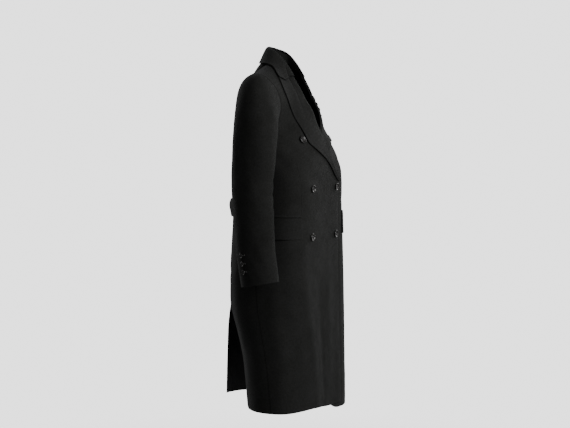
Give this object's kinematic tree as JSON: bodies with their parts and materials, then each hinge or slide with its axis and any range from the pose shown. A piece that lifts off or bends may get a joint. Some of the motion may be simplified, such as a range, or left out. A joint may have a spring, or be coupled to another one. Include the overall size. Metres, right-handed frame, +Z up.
{
  "type": "overcoat",
  "caption": "Long double-breasted overcoat with wide peak lapels, flap pockets, a half-belted back and a deep back vent, held in its worn, hollow form.",
  "frame": {"origin": "in the neck opening, at the height of the collar seam at the nape, where the wearer holds the coat up", "axes": "+Z up, +X towards the wearer's left, the front faces -Y"},
  "size_m": [0.624, 0.3905, 1.1747],
  "materials": {
    "wool": "milled charcoal-black overcoat wool",
    "horn": "polished dark horn"
  },
  "bodies": {
    "root": {"front_right": "wool", "front_left": "wool", "back_right": "wool", "back_left": "wool", "top_sleeve_right": "wool", "top_sleeve_left": "wool", "under_sleeve_right": "wool", "under_sleeve_left": "wool", "lapel_right": "wool", "lapel_left": "wool", "collar_stand": "wool", "collar_fall": "wool", "half_belt": "wool", "pocket_flap_right": "wool", "pocket_flap_left": "wool", "pocket_jet_right": "wool", "pocket_jet_left": "wool", "button_top_right": "horn", "button_top_left": "horn", "button_middle_right": "horn", "button_middle_left": "horn", "button_bottom_right": "horn", "button_bottom_left": "horn", "cuff_button_1_right": "horn", "cuff_button_2_right": "horn", "cuff_button_3_right": "horn", "cuff_button_1_left": "horn", "cuff_button_2_left": "horn", "cuff_button_3_left": "horn"}
  },
  "joints": []
}
